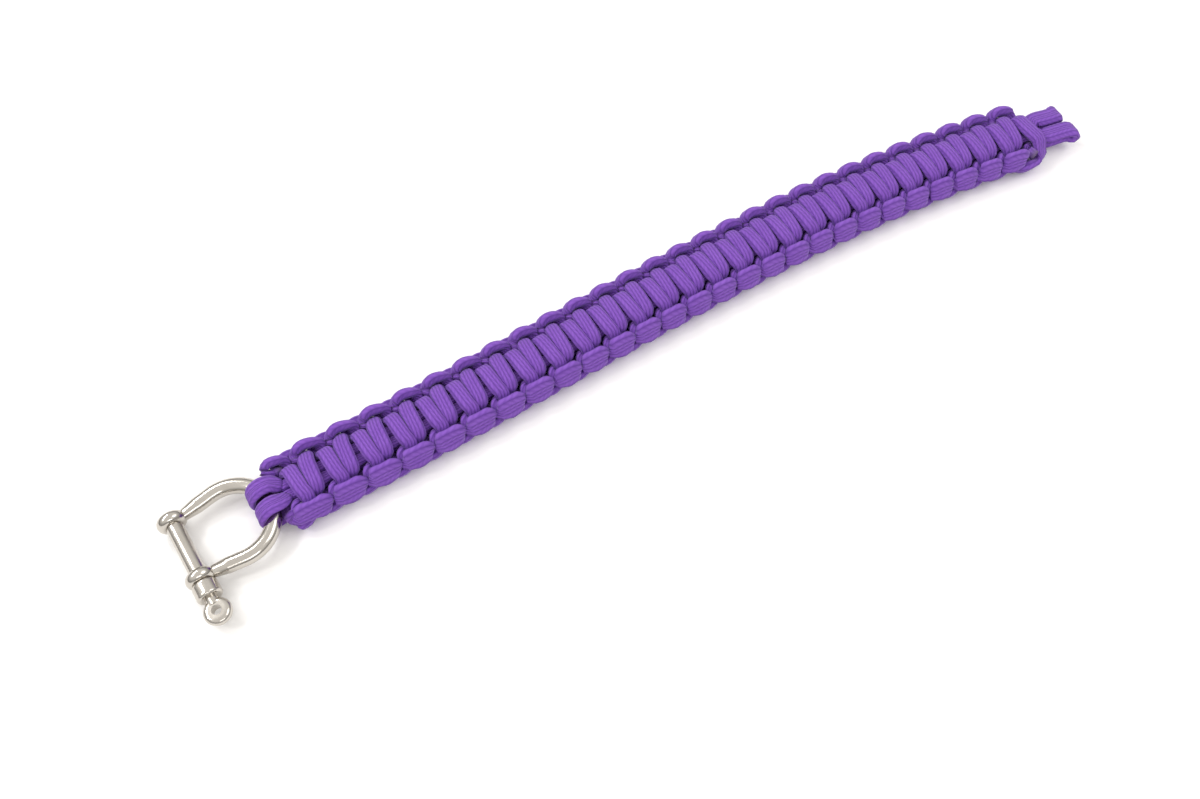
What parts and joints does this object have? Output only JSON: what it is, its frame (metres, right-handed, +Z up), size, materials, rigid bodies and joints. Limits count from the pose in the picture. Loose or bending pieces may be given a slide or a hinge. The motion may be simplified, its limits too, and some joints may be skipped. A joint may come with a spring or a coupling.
{
  "type": "paracord bracelet",
  "caption": "Open paracord bracelet in cobra weave, with a steel bow shackle and screw pin at one end and cord end loops at the other.",
  "frame": {"origin": "on the surface that the bracelet lies on, below the middle of the whole lying bracelet", "axes": "+X along the strap from the shackle to the end loops, +Y across it away from the pin's eye, +Z up"},
  "size_m": [0.2782, 0.0419, 0.0095],
  "materials": {
    "cord": "braided nylon sheath, soft sheen",
    "bow_steel": "polished",
    "pin_steel": "polished"
  },
  "bodies": {
    "strap": {"weave_top_strand": "cord", "weave_bottom_strand": "cord", "core_loop_far": "cord", "core_loop_near": "cord"},
    "shackle": {"shackle_bow": "bow_steel"},
    "pin": {"shackle_pin": "pin_steel"}
  },
  "joints": [
    {"name": "shackle_swing", "type": "hinge", "parent": "strap", "child": "shackle", "pos_m": [-0.11168, 0.00325, 0.00477], "axis": [-0.0698, 0.9976, 0], "range_deg": [-60, 60]},
    {"name": "pin_draw", "type": "slide", "parent": "shackle", "child": "pin", "axis": [0.0698, -0.9976, 0], "range_m": [0, 0.02]}
  ]
}
